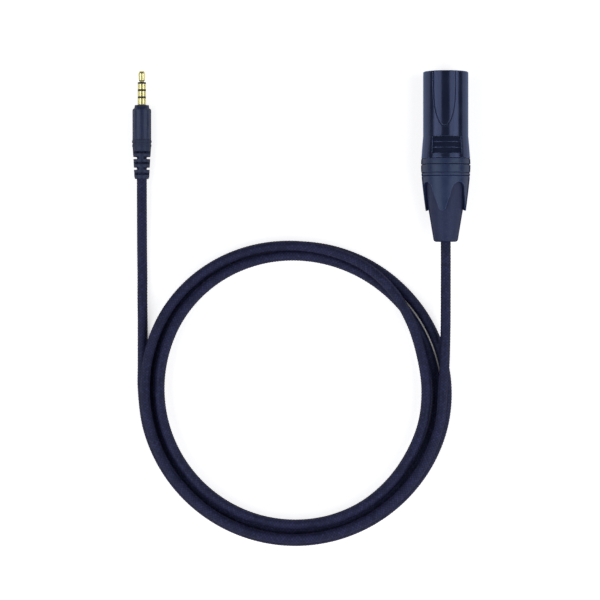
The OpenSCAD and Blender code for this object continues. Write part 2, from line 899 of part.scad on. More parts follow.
coil();
jack_lead();
xlr_lead();
xlr_shell();
xlr_insert();
xlr_contact(0);  // xlr_contact_1
xlr_contact(1);  // xlr_contact_2
xlr_contact(2);  // xlr_contact_3
xlr_wire(0);  // xlr_wire_1
xlr_wire(1);  // xlr_wire_2
xlr_wire(2);  // xlr_wire_3
xlr_cable_end();
xlr_chuck();
xlr_boot();
collar_ring();
xlr_boot_sleeve();
jack_tip();
jack_ring(tube_1, ring_1, ring_1_tail);  // jack_ring_1
jack_ring(tube_2, ring_2, ring_2_tail);  // jack_ring_2
jack_sleeve();
jack_insulator(film_1, band_1, ring_1_tail + tail_step / 2);  // jack_insulator_1
jack_insulator(film_2, band_2, ring_2_tail + tail_step / 2);  // jack_insulator_2
jack_insulator(film_3, band_3, sleeve_tail + tail_step / 2);  // jack_insulator_3
jack_neck();
jack_barrel();
jack_inner_mould();
jack_strain_relief();
jack_wire(0);  // jack_wire_1
jack_wire(1);  // jack_wire_2
jack_wire(2);  // jack_wire_3
jack_cable_end();
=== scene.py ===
"""Dresses a ready-made microphone cable: a braided cord put away in a round coil, with a male
three-contact connector on one end and a four-pole jack plug on the other.

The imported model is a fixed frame, in metres. Each piece below rides on one of its bodies. The
cable lies on the plane z = 0, both plugs point along +Y, and the cord leaves them towards -Y.
"""

import logging
import math
from dataclasses import dataclass, field
from enum import Enum

import bmesh
import bpy
import numpy as np
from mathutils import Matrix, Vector


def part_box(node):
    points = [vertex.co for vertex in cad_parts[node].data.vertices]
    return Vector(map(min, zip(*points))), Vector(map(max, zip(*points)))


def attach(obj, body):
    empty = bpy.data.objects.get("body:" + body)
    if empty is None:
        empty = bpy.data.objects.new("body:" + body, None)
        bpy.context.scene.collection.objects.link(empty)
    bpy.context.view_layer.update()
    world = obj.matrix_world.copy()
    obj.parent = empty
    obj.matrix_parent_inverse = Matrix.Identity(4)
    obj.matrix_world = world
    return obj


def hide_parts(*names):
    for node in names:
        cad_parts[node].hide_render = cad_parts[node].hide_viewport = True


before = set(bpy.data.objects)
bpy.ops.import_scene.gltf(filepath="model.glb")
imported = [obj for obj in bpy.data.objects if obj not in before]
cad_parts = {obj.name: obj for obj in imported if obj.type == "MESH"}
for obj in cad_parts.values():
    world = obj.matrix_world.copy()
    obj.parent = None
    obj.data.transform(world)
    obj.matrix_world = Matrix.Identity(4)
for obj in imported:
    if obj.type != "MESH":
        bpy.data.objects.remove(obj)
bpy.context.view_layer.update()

LOG = logging.getLogger("cable")
MM = 0.001
BAKE_MAP = "OFBake"
BRAID_MAP = "Braid"
FULL = (0.0, 1.0)
# The cord's diameter in millimetres, and how many yarns run each way round it
CORD_MM = 4.2
CARRIERS = 8
CABLE_BODY = "cable"

Colour = tuple[float, float, float]
Point = tuple[float, float, float]
Band = tuple[float, float]
Socket = bpy.types.NodeSocket
Feed = Socket | float | tuple[float, ...]


class Surface(Enum):
    """What a finish lies on."""

    SOLID = "solid"
    WOVEN = "woven"


# ---------------------------------------------------------------- node trees


class Wiring:
    """Adds and links the nodes of one tree."""

    def __init__(self, tree: bpy.types.NodeTree) -> None:
        """Starts on a tree.

        Args:
            tree: Tree that gets the nodes.
        """
        self.tree = tree

    def add(self, kind: str, **settings: object) -> bpy.types.Node:
        """Adds one node.

        Args:
            kind: Type name of the node.
            **settings: Properties to set on it.

        Returns:
            The new node.
        """
        node = self.tree.nodes.new(kind)
        for name, value in settings.items():
            setattr(node, name, value)
        return node

    def feed(self, socket: Socket, value: Feed) -> None:
        """Links a socket to another one, or sets its value.

        Args:
            socket: Input socket.
            value: Output socket, number or vector.
        """
        if isinstance(value, Socket):
            self.tree.links.new(value, socket)
        else:
            socket.default_value = value

    def math(self, operation: str, *values: Feed) -> Socket:
        """Adds a Math node.

        Args:
            operation: Name of the operation.
            *values: Its inputs, in order.

        Returns:
            The result's socket.
        """
        node = self.add("ShaderNodeMath", operation=operation)
        for socket, value in zip(node.inputs, values):
            self.feed(socket, value)
        return node.outputs[0]

    def mix(self, factor: Feed, first: Feed, second: Feed) -> Socket:
        """Mixes two colours.

        Args:
            factor: Share of the second one.
            first: Colour or colour socket.
            second: Colour or colour socket.

        Returns:
            The mixed colour's socket.
        """
        node = self.add("ShaderNodeMix", data_type="RGBA")
        self.feed(node.inputs["Factor"], factor)
        # Numbers, vectors and colours share the labels A, B and Result, so the order tells them apart
        for socket, value in zip(node.inputs[6:8], (first, second)):
            self.feed(socket, value if isinstance(value, Socket) else (*value, 1.0))
        return node.outputs[2]

    def spread(self, value: Feed, band: Band, to: Band = FULL) -> Socket:
        """Maps a range onto another one, clamped.

        Args:
            value: Number to map.
            band: Start and end of its range.
            to: Range to map it onto.

        Returns:
            The mapped number's socket.
        """
        node = self.add("ShaderNodeMapRange")
        for socket, item in zip(node.inputs, (value, *band, *to)):
            self.feed(socket, item)
        return node.outputs[0]

    def position(self) -> Socket:
        """Gives the socket of a spot's position in the model."""
        return self.add("ShaderNodeTexCoord").outputs["Object"]

    def noise(self, position: Feed, scale: Feed, detail: float, roughness: float = 0.5) -> Socket:
        """Adds a Noise Texture.

        Args:
            position: Where it is read.
            scale: How fine it is.
            detail: How many finer layers it has.
            roughness: Weight of those layers.

        Returns:
            The noise's socket.
        """
        node = self.add("ShaderNodeTexNoise")
        for label, value in (("Vector", position), ("Scale", scale),
                             ("Detail", detail), ("Roughness", roughness)):
            self.feed(node.inputs[label], value)
        return node.outputs[0]


class Effect:
    """A shader node group that several finishes share."""

    def __init__(self, name: str, inputs: dict[str, float], outputs: dict[str, str]) -> None:
        """Makes the empty group with its sockets.

        Args:
            name: Name of the group.
            inputs: Each number that it takes, with its default.
            outputs: Each result, with its socket type.
        """
        self.group = bpy.data.node_groups.new(name, "ShaderNodeTree")
        face = self.group.interface
        for label, value in inputs.items():
            socket = face.new_socket(label, in_out="INPUT", socket_type="NodeSocketFloat")
            socket.default_value = value
        for label, kind in outputs.items():
            face.new_socket(label, in_out="OUTPUT", socket_type=kind)
        self.wiring = Wiring(self.group)
        self.given = self.wiring.add("NodeGroupInput").outputs
        self.result = self.wiring.add("NodeGroupOutput").inputs

    def give(self, label: str, socket: Socket) -> None:
        """Sends a socket out of the group under a label."""
        self.wiring.feed(self.result[label], socket)

    def place(self, wiring: Wiring, **values: float) -> bpy.types.Node:
        """Places the group in a material.

        Args:
            wiring: The material's own tree.
            **values: Numbers for the group's inputs, with _ for each space.

        Returns:
            The group's node.
        """
        node = wiring.add("ShaderNodeGroup", node_tree=self.group)
        for label, value in values.items():
            node.inputs[label.replace("_", " ")].default_value = value
        return node


# Bands of noise over which a mask goes from none to full
CLOUD_BAND = (0.36, 0.64)
SCUFF_BAND = (0.62, 0.74)
SPECK_BAND = (0.55, 0.72)
# Stretches that turn a noise into lines round the plugs and along them
SCUFF_STRETCHES = ((1.0, 14.0, 1.0), (12.0, 1.4, 12.0))
SPECK_SCALE = 2200.0
# How much a face looks up where dust starts to settle, and where all of it does
UPWARD_BAND = (0.2, 1.0)
# Cosine of a rounded edge's turn, where the painted edge highlight starts and where it is full
EDGE_BAND = (0.985, 0.86)
# Openness of a clear face, and of the bottom of a groove, for the grooves' painted shade
GROOVE_BAND = (0.8, 0.4)


def mottle_effect() -> Effect:
    """Makes the cloudy variation of moulded and painted faces.

    Returns:
        The group, with a mask and a fine height.
    """
    effect = Effect("Mottle", {"Cloud Scale": 300.0, "Grain Scale": 4000.0},
                    {"Mask": "NodeSocketFloat", "Height": "NodeSocketFloat"})
    wiring = effect.wiring
    position = wiring.position()
    cloud = wiring.noise(position, effect.given["Cloud Scale"], detail=4.0)
    effect.give("Mask", wiring.spread(cloud, CLOUD_BAND))
    effect.give("Height", wiring.noise(position, effect.given["Grain Scale"], detail=2.0))
    return effect


def scuff_effect() -> Effect:
    """Makes hairline scuffs that run round and along the pieces.

    Returns:
        The group, with a mask.
    """
    effect = Effect("Scuffs", {"Scale": 60.0, "Amount": 0.3}, {"Mask": "NodeSocketFloat"})
    wiring = effect.wiring
    position = wiring.position()
    lines = []
    for stretch in SCUFF_STRETCHES:
        mapping = wiring.add("ShaderNodeMapping")
        wiring.feed(mapping.inputs["Scale"], stretch)
        wiring.feed(mapping.inputs["Vector"], position)
        noise = wiring.noise(mapping.outputs[0], effect.given["Scale"], detail=6.0, roughness=0.7)
        lines.append(wiring.spread(noise, SCUFF_BAND))
    either = wiring.math("MAXIMUM", *lines)
    effect.give("Mask", wiring.math("MULTIPLY", either, effect.given["Amount"]))
    return effect


def edge_effect() -> Effect:
    """Makes rounded edges, the mask of the edges' painted highlight and the mask of the grooves' painted
    shade.

    Returns:
        The group, with two masks and a normal.
    """
    effect = Effect("Edges", {"Radius": 0.0002, "Reach": 0.0008},
                    {"Mask": "NodeSocketFloat", "Groove": "NodeSocketFloat",
                     "Normal": "NodeSocketVector"})
    wiring = effect.wiring
    bevel = wiring.add("ShaderNodeBevel", samples=4)
    wiring.feed(bevel.inputs["Radius"], effect.given["Radius"])
    turn = wiring.add("ShaderNodeVectorMath", operation="DOT_PRODUCT")
    wiring.feed(turn.inputs[0], bevel.outputs[0])
    wiring.feed(turn.inputs[1], wiring.add("ShaderNodeNewGeometry").outputs["Normal"])
    # Painted highlight: the mask of the edges that the bevel rounds
    effect.give("Mask", wiring.spread(turn.outputs["Value"], EDGE_BAND))
    effect.give("Normal", bevel.outputs[0])
    # Painted shade: the mask of the grooves that see little around them
    openness = wiring.add("ShaderNodeAmbientOcclusion", samples=8)
    wiring.feed(openness.inputs["Distance"], effect.given["Reach"])
    effect.give("Groove", wiring.spread(openness.outputs["AO"], GROOVE_BAND))
    return effect


def dust_effect() -> Effect:
    """Makes the light dust that settles on faces that look up.

    Returns:
        The group, with a mask.
    """
    effect = Effect("Dust", {"Amount": 0.1}, {"Mask": "NodeSocketFloat"})
    wiring = effect.wiring
    normal = wiring.add("ShaderNodeSeparateXYZ")
    wiring.feed(normal.inputs[0], wiring.add("ShaderNodeNewGeometry").outputs["Normal"])
    specks = wiring.spread(wiring.noise(wiring.position(), SPECK_SCALE, detail=3.0), SPECK_BAND)
    upward = wiring.spread(normal.outputs["Z"], UPWARD_BAND)
    mask = wiring.math("MULTIPLY", specks, upward)
    effect.give("Mask", wiring.math("MULTIPLY", mask, effect.given["Amount"]))
    return effect


@dataclass
class YarnPattern:
    """The look of the yarns that cross over and under each other in a braided jacket.

    Each band is where its mask goes from none to full. A yarn changes its tone once in 1 / tone_run
    crossings. The second way is added to the numbers of the yarns that run that way, so that they
    have tones of their own.
    """

    carriers: float = CARRIERS
    filaments: float = 5.0
    crown_power: float = 0.6
    arch_power: float = 0.35
    filament_relief: float = 0.1
    gap_band: Band = (0.75, 0.2)
    light_band: Band = (0.35, 1.0)
    tone_run: float = 0.34
    second_way: float = 31.0

    def effect(self) -> Effect:
        """Makes the yarns from the jacket's own map.

        Returns:
            The group, with a height, a mask of lighter yarns and a mask of the gaps for their painted
            shade.
        """
        effect = Effect("Yarns", {"Carriers": self.carriers, "Filaments": self.filaments},
                        {"Height": "NodeSocketFloat", "Light": "NodeSocketFloat",
                         "Gap": "NodeSocketFloat"})
        wiring = effect.wiring
        split = wiring.add("ShaderNodeSeparateXYZ")
        wiring.feed(split.inputs[0], wiring.add("ShaderNodeUVMap", uv_map=BRAID_MAP).outputs[0])
        ways = split.outputs["X"], split.outputs["Y"]
        cells = [wiring.math("FLOOR", way) for way in ways]
        across = [wiring.math("FRACT", way) for way in ways]
        over = wiring.math("FLOORED_MODULO", wiring.math("ADD", *cells), 2.0)
        under = wiring.math("SUBTRACT", 1.0, over)

        def upper(first: Socket, second: Socket) -> Socket:
            """Takes the first number where the first way lies on top, and else the second."""
            return wiring.math("ADD", wiring.math("MULTIPLY", first, over),
                               wiring.math("MULTIPLY", second, under))

        side = upper(*across)
        run = upper(across[1], across[0])
        crown, arch = (
            wiring.math("POWER", wiring.math("SINE", wiring.math("MULTIPLY", share, math.pi)), power)
            for share, power in ((side, self.crown_power), (run, self.arch_power))
        )
        body = wiring.math("MULTIPLY", crown, arch)
        turns = wiring.math("MULTIPLY", effect.given["Filaments"], 2.0 * math.pi)
        ripple = wiring.math("SINE", wiring.math("MULTIPLY", side, turns))
        effect.give("Height", wiring.math("MULTIPLY_ADD", ripple, self.filament_relief, body))
        effect.give("Gap", wiring.spread(body, self.gap_band))
        strands = [wiring.math("FLOORED_MODULO", cell, effect.given["Carriers"]) for cell in cells]
        yarn = upper(strands[0], wiring.math("ADD", strands[1], self.second_way))
        stretch = wiring.math("MULTIPLY", upper(cells[1], cells[0]), self.tone_run)
        spot = wiring.add("ShaderNodeCombineXYZ")
        wiring.feed(spot.inputs[0], yarn)
        wiring.feed(spot.inputs[1], wiring.math("FLOOR", stretch))
        tone = wiring.add("ShaderNodeTexWhiteNoise", noise_dimensions="2D")
        wiring.feed(tone.inputs["Vector"], spot.outputs[0])
        effect.give("Light", wiring.spread(tone.outputs["Value"], self.light_band))
        return effect


# ---------------------------------------------------------------- finishes


# Gloss fades out between these two shares of the way from facing to edge-on
RIM_FADE = (0.25, 0.7)
SHEEN_ROUGH = 0.4
DUST_COLOUR = (0.45, 0.45, 0.48)
# Share of the mottle that counts as wear
MOTTLE_WEAR = 0.5
# Added to each part of the colour of a painted edge highlight
HIGHLIGHT_LIFT = 0.01
# Share of its colour that a groove keeps under its painted shade, and how much rougher it is
GROOVE_SHADE_SHARE = 0.12
GROOVE_ROUGH = 0.5
# Gain and amount of the lighter yarns
YARN_GAIN = 1.9
YARN_LIGHT = 0.6
# Share of its colour that a gap between yarns keeps under its painted shade, and the amount of that shade
GAP_COLOUR = 0.3
GAP_SHADE = 0.8
# Share of the mottle's height that shows on the yarns
YARN_GRAIN = 0.15


@dataclass(frozen=True)
class Finish:
    """One finish: its colours, gloss and how its surface breaks up.

    The two colours and the two roughnesses are the ends of their variation. Edge and groove are
    the radius of a rounded edge's painted highlight and the reach of a groove's painted shade, in metres.
    """

    name: str
    colour: Colour
    tint: Colour
    rough: Band
    surface: Surface = Surface.SOLID
    metallic: float = 0.0
    specular: float = 0.5
    specular_tint: Colour = (1.0, 1.0, 1.0)
    sheen: float = 0.0
    cloud: float = 300.0
    grain: float = 4000.0
    relief: float = 0.1
    relief_depth: float = 0.00005
    edge: float = 0.00012
    edge_highlight_amount: float = 0.25
    edge_highlight_gain: float = 1.8
    groove: float = 0.0008
    groove_shade: float = 0.7
    scuffs: float = 0.2
    dust: float = 0.05


class Palette:
    """Builds the shared effects once, and one material for each finish."""

    def __init__(self) -> None:
        """Makes the effects."""
        self.mottle = mottle_effect()
        self.scuffs = scuff_effect()
        self.edges = edge_effect()
        self.dust = dust_effect()
        self.yarns = YarnPattern().effect()
        self.made: dict[str, bpy.types.Material] = {}

    def material(self, finish: Finish) -> bpy.types.Material:
        """Gives the finish's material, which is made at its first use.

        Args:
            finish: The finish.

        Returns:
            Its material.
        """
        if finish.name not in self.made:
            self.made[finish.name] = self._build(finish)
        return self.made[finish.name]

    def _build(self, finish: Finish) -> bpy.types.Material:
        """Makes one material.

        Args:
            finish: The finish.

        Returns:
            Its material.
        """
        material = bpy.data.materials.new(finish.name)
        material.use_nodes = True
        material.diffuse_color = (*finish.colour, 1.0)
        wiring = Wiring(material.node_tree)
        shader = material.node_tree.nodes["Principled BSDF"].inputs
        self._set_gloss(wiring, shader, finish)
        mottle = self.mottle.place(wiring, Cloud_Scale=finish.cloud, Grain_Scale=finish.grain).outputs
        scuffs = self.scuffs.place(wiring, Amount=finish.scuffs).outputs["Mask"]
        dust = self.dust.place(wiring, Amount=finish.dust).outputs["Mask"]
        colour = wiring.mix(mottle["Mask"], finish.colour, finish.tint)
        height = mottle["Height"]
        worn = wiring.math("MAXIMUM", scuffs, wiring.math("MULTIPLY", mottle["Mask"], MOTTLE_WEAR))
        rough = wiring.spread(worn, FULL, finish.rough)
        bump = wiring.add("ShaderNodeBump")
        if finish.surface is Surface.WOVEN:
            colour, height = self._weave(wiring, finish, colour, height)
        else:
            colour, rough, normal = self._paint_highlight_and_shade(wiring, finish, colour, rough)
            wiring.feed(bump.inputs["Normal"], normal)
        for label, value in (("Strength", finish.relief), ("Distance", finish.relief_depth),
                             ("Height", height)):
            wiring.feed(bump.inputs[label], value)
        for label, value in (("Base Color", wiring.mix(dust, colour, DUST_COLOUR)),
                             ("Roughness", rough), ("Normal", bump.outputs[0])):
            wiring.feed(shader[label], value)
        return material

    def _set_gloss(self, wiring: Wiring, shader: bpy.types.NodeInputs, finish: Finish) -> None:
        """Sets the shader's plain numbers, and lets the gloss fade out edge-on.

        Args:
            wiring: The material's tree.
            shader: Inputs of its shader.
            finish: The finish.
        """
        for label, value in (("Metallic", finish.metallic), ("Specular IOR Level", finish.specular),
                             ("Specular Tint", (*finish.specular_tint, 1.0)),
                             ("Sheen Weight", finish.sheen), ("Sheen Roughness", SHEEN_ROUGH)):
            shader[label].default_value = value
        facing = wiring.add("ShaderNodeLayerWeight").outputs["Facing"]
        wiring.feed(shader["Specular IOR Level"], wiring.spread(facing, RIM_FADE, (finish.specular, 0.0)))

    def _weave(self, wiring: Wiring, finish: Finish, colour: Socket,
               height: Socket) -> tuple[Socket, Socket]:
        """Adds the yarns, and painted shade in the gaps between them.

        Args:
            wiring: The material's tree.
            finish: The finish.
            colour: Colour so far.
            height: Height so far.

        Returns:
            The colour and the height with yarns.
        """
        yarns = self.yarns.place(wiring).outputs
        lighter = tuple(min(1.0, YARN_GAIN * part) for part in finish.tint)
        # Painted shade: a darker copy of the colour in the gaps between the yarns
        yarn_gap_shade_colour = tuple(GAP_COLOUR * part for part in finish.colour)
        colour = wiring.mix(wiring.math("MULTIPLY", yarns["Light"], YARN_LIGHT), colour, lighter)
        colour = wiring.mix(wiring.math("MULTIPLY", yarns["Gap"], GAP_SHADE), colour, yarn_gap_shade_colour)
        return colour, wiring.math("MULTIPLY_ADD", height, YARN_GRAIN, yarns["Height"])

    def _paint_highlight_and_shade(self, wiring: Wiring, finish: Finish, colour: Socket,
              rough: Socket) -> tuple[Socket, ...]:
        """Paints a highlight on the edges and paints shade into the grooves.

        Args:
            wiring: The material's tree.
            finish: The finish.
            colour: Colour so far.
            rough: Roughness so far.

        Returns:
            The colour and the roughness with both, and the normal of the rounded edges.
        """
        edges = self.edges.place(wiring, Radius=finish.edge, Reach=finish.groove).outputs
        # Painted highlight: a lighter copy of the tint on the rounded edges
        painted_highlight_colour = tuple(min(1.0, finish.edge_highlight_gain * part + HIGHLIGHT_LIFT) for part in finish.tint)
        # Painted shade: a darker copy of the colour at the bottom of the grooves, which also roughens
        # them
        painted_shade_colour = tuple(GROOVE_SHADE_SHARE * part for part in finish.colour)
        painted_shade_mask = wiring.math("MULTIPLY", edges["Groove"], finish.groove_shade)
        colour = wiring.mix(wiring.math("MULTIPLY", edges["Mask"], finish.edge_highlight_amount), colour, painted_highlight_colour)
        colour = wiring.mix(painted_shade_mask, colour, painted_shade_colour)
        return colour, wiring.math("MULTIPLY_ADD", painted_shade_mask, GROOVE_ROUGH, rough), edges["Normal"]


BLUE_GLOSS = (0.6, 0.75, 1.0)
CORD_BRAID = Finish(
    "cord_braid", (0.012, 0.013, 0.046), (0.021, 0.021, 0.066), (0.5, 0.75), surface=Surface.WOVEN,
    specular=0.3, specular_tint=BLUE_GLOSS, sheen=0.02, cloud=90.0, relief=0.6, relief_depth=0.0001,
    dust=0.03)
SHELL_METAL = Finish(
    "shell_metal", (0.022, 0.031, 0.073), (0.027, 0.037, 0.081), (0.17, 0.3), metallic=0.6,
    specular=0.55, specular_tint=(0.67, 0.76, 1.0), cloud=120.0, relief=0.04, edge=0.00025,
    edge_highlight_amount=0.95, edge_highlight_gain=6.0, groove=0.0012, groove_shade=0.97, dust=0.02)
BOOT_PLASTIC = Finish(
    "boot_plastic", (0.021, 0.034, 0.088), (0.027, 0.041, 0.1), (0.34, 0.5), specular=0.45,
    specular_tint=BLUE_GLOSS, grain=5200.0, relief=0.12, edge=0.00025, edge_highlight_amount=0.9, edge_highlight_gain=4.0,
    groove=0.001, groove_shade=0.5)
COLLAR_PLASTIC = Finish(
    "collar_plastic", (0.018, 0.03, 0.078), (0.024, 0.037, 0.09), (0.3, 0.45), specular=0.45,
    specular_tint=BLUE_GLOSS, grain=5200.0, relief=0.1, edge=0.00025, edge_highlight_amount=0.9, edge_highlight_gain=4.5,
    groove=0.0012, groove_shade=0.95)
BOOT_RUBBER = Finish(
    "boot_rubber", (0.022, 0.029, 0.078), (0.031, 0.036, 0.09), (0.5, 0.68), specular=0.35,
    specular_tint=BLUE_GLOSS, grain=3600.0, relief=0.2)
INSERT_PLASTIC = Finish("insert_plastic", (0.014, 0.014, 0.016), (0.022, 0.022, 0.025), (0.4, 0.55))
CHUCK_PLASTIC = Finish("chuck_plastic", (0.045, 0.045, 0.05), (0.06, 0.06, 0.065), (0.4, 0.6))
CONTACT_GOLD = Finish(
    "contact_gold", (0.83, 0.62, 0.27), (0.74, 0.52, 0.2), (0.16, 0.32), metallic=1.0, relief=0.04,
    scuffs=0.35, dust=0.0)
PLUG_GOLD = Finish(
    "plug_gold", (0.84, 0.79, 0.42), (0.72, 0.66, 0.32), (0.18, 0.34), metallic=1.0,
    specular_tint=(0.25, 0.24, 0.08), relief=0.04, groove=0.001, groove_shade=0.95, scuffs=0.35,
    dust=0.0)
BAND_PLASTIC = Finish(
    "band_plastic", (0.006, 0.005, 0.006), (0.010, 0.009, 0.009), (0.35, 0.5), edge=0.00005)
HANDLE_PLASTIC = Finish(
    "handle_plastic", (0.021, 0.028, 0.068), (0.027, 0.034, 0.079), (0.3, 0.45), specular=0.45,
    specular_tint=BLUE_GLOSS, grain=6000.0, relief=0.08)
RELIEF_RUBBER = Finish(
    "relief_rubber", (0.019, 0.025, 0.062), (0.026, 0.032, 0.072), (0.42, 0.58), specular=0.4,
    specular_tint=BLUE_GLOSS, grain=4200.0, relief=0.18)
MOULD_PLASTIC = Finish("mould_plastic", (0.03, 0.03, 0.032), (0.045, 0.045, 0.05), (0.4, 0.6))
WIRE_RED = Finish("wire_red", (0.42, 0.02, 0.015), (0.5, 0.035, 0.02), (0.3, 0.45))
WIRE_WHITE = Finish("wire_white", (0.66, 0.65, 0.6), (0.74, 0.73, 0.7), (0.3, 0.45))
WIRE_BLUE = Finish("wire_blue", (0.03, 0.09, 0.4), (0.04, 0.12, 0.46), (0.3, 0.45))


# ---------------------------------------------------------------- stage


@dataclass
class Studio:
    """Camera, lamps, world and floor. Lengths are in metres and angles in degrees.

    The frame width is what the camera sees across at the floor. Each lamp is its tilt from straight
    above, its width and its radiance. The floor's lift makes it white to the eye, and fades in
    slits that see little of the sky.
    """

    middle: tuple[float, float] = (-0.000315, -0.0606)
    height: float = 1.09
    frame_width: float = 0.2544
    sensor: float = 36.0
    sight: float = 100.0
    lamp_distance: float = 0.8
    lamp_length: float = 1.2
    lamp_back: float = 0.34
    lamps: tuple[Point, ...] = ((52.5, 0.35, 1.95), (30.0, 0.27, 1.65))
    sky: Colour = (0.105, 0.11, 0.135)
    floor_side: float = 60.0
    floor_colour: Colour = (0.7, 0.7, 0.7)
    floor_rough: float = 0.9
    floor_lift: float = 0.7
    slit_reach: float = 0.01
    slit_sky: Band = (0.1, 0.3)

    def place_camera(self) -> None:
        """Places the camera straight above the cable."""
        data = bpy.data.cameras.new("camera")
        data.sensor_width = self.sensor
        data.lens = self.sensor * self.height / self.frame_width
        data.clip_end = self.sight
        camera = bpy.data.objects.new("camera", data)
        camera.location = (*self.middle, self.height)
        bpy.context.scene.collection.objects.link(camera)
        bpy.context.scene.camera = camera

    def light(self) -> None:
        """Hangs long soft lamps along the plugs, left and right, under a dim sky."""
        for side in (-1, 1):
            for tilt, width, radiance in self.lamps:
                self._hang_lamp(side * math.radians(tilt), width, radiance)
        world = bpy.data.worlds.new("sky")
        world.use_nodes = True
        background = world.node_tree.nodes["Background"]
        background.inputs["Color"].default_value = (*self.sky, 1.0)
        background.inputs["Strength"].default_value = 1.0
        bpy.context.scene.world = world

    def _hang_lamp(self, angle: float, width: float, radiance: float) -> None:
        """Hangs one lamp.

        Args:
            angle: Angle from straight above, in radians, positive to the right.
            width: Its width.
            radiance: How bright it looks.
        """
        data = bpy.data.lights.new("lamp", "AREA")
        data.shape = "RECTANGLE"
        data.size = width
        data.size_y = self.lamp_length
        data.energy = radiance * math.pi * width * self.lamp_length
        lamp = bpy.data.objects.new("lamp", data)
        lamp.location = (
            self.middle[0] + self.lamp_distance * math.sin(angle),
            self.middle[1] - self.lamp_back,
            self.lamp_distance * math.cos(angle),
        )
        lamp.rotation_euler = (0.0, angle, 0.0)
        bpy.context.scene.collection.objects.link(lamp)

    def lay_floor(self) -> None:
        """Lays the white floor, which keeps the soft shadows."""
        half = self.floor_side / 2
        mesh = bpy.data.meshes.new("floor")
        square = ((-half, -half), (half, -half), (half, half), (-half, half))
        mesh.from_pydata([(x, y, 0.0) for x, y in square], [], [(0, 1, 2, 3)])
        mesh.materials.append(self._floor_material())
        floor = bpy.data.objects.new("floor", mesh)
        bpy.context.scene.collection.objects.link(floor)

    def _floor_material(self) -> bpy.types.Material:
        """Makes the floor's white.

        Returns:
            The material.
        """
        material = bpy.data.materials.new("floor_white")
        material.use_nodes = True
        wiring = Wiring(material.node_tree)
        shader = material.node_tree.nodes["Principled BSDF"].inputs
        for label, value in (("Base Color", (*self.floor_colour, 1.0)), ("Roughness", self.floor_rough),
                             ("Specular IOR Level", 0.0), ("Emission Color", (1.0, 1.0, 1.0, 1.0))):
            shader[label].default_value = value
        ray = wiring.add("ShaderNodeLightPath").outputs
        seen = wiring.math("ADD", ray["Is Camera Ray"], ray["Is Glossy Ray"])
        seen = wiring.math("MINIMUM", wiring.math("ADD", seen, ray["Is Transmission Ray"]), 1.0)
        openness = wiring.add("ShaderNodeAmbientOcclusion", samples=16)
        openness.inputs["Distance"].default_value = self.slit_reach
        lift = wiring.spread(openness.outputs["AO"], self.slit_sky, (0.0, self.floor_lift))
        wiring.feed(shader["Emission Strength"], wiring.math("MULTIPLY", seen, lift))
        return material


# ---------------------------------------------------------------- mesh tools


# Points that are worked out from one given point to the next, before the equal steps
SPAN_CUTS = 25


def smooth_line(points: np.ndarray, step: float) -> np.ndarray:
    """Runs a smooth line through points and cuts it into equal steps.

    The line is a centripetal Catmull-Rom spline, with each end's neighbour mirrored outward.

    Args:
        points: Points to pass through.
        step: Length of one step, which is stretched a little to fit.

    Returns:
        The points of the line.
    """
    ends = 2 * points[0] - points[1], 2 * points[-1] - points[-2]
    padded = np.vstack([ends[0], points, ends[1]])
    gaps = np.linalg.norm(np.diff(padded, axis=0), axis=1)
    knots = np.concatenate([[0.0], np.cumsum(np.sqrt(gaps))])
    pieces = []
    for i in range(1, len(padded) - 2):
        t = np.linspace(knots[i], knots[i + 1], SPAN_CUTS)[:, None]
        spans = []
        for j in range(i - 1, i + 2):
            share = (t - knots[j]) / (knots[j + 1] - knots[j])
            spans.append((1 - share) * padded[j] + share * padded[j + 1])
        for width in (2, 1):
            merged = []
            for j in range(width):
                start, end = knots[i + 1 - width + j], knots[i + 1 + j]
                merged.append(spans[j] + (t - start) / (end - start) * (spans[j + 1] - spans[j]))
            spans = merged
        pieces.append(spans[0][:-1])
    dense = np.vstack([*pieces, points[-1:]])
    along = np.concatenate([[0.0], np.cumsum(np.linalg.norm(np.diff(dense, axis=0), axis=1))])
    stations = np.linspace(0.0, along[-1], max(2, round(along[-1] / step)) + 1)
    return np.column_stack([np.interp(stations, along, dense[:, k]) for k in range(3)])


def eased(share: float) -> float:
    """Eases a share from 0 to 1, clamped."""
    share = min(max(share, 0.0), 1.0)
    return share * share * (3 - 2 * share)


def line_length(points: np.ndarray) -> float:
    """Gives the length of a line of points."""
    return float(np.linalg.norm(np.diff(points, axis=0), axis=1).sum())


# ---------------------------------------------------------------- cord


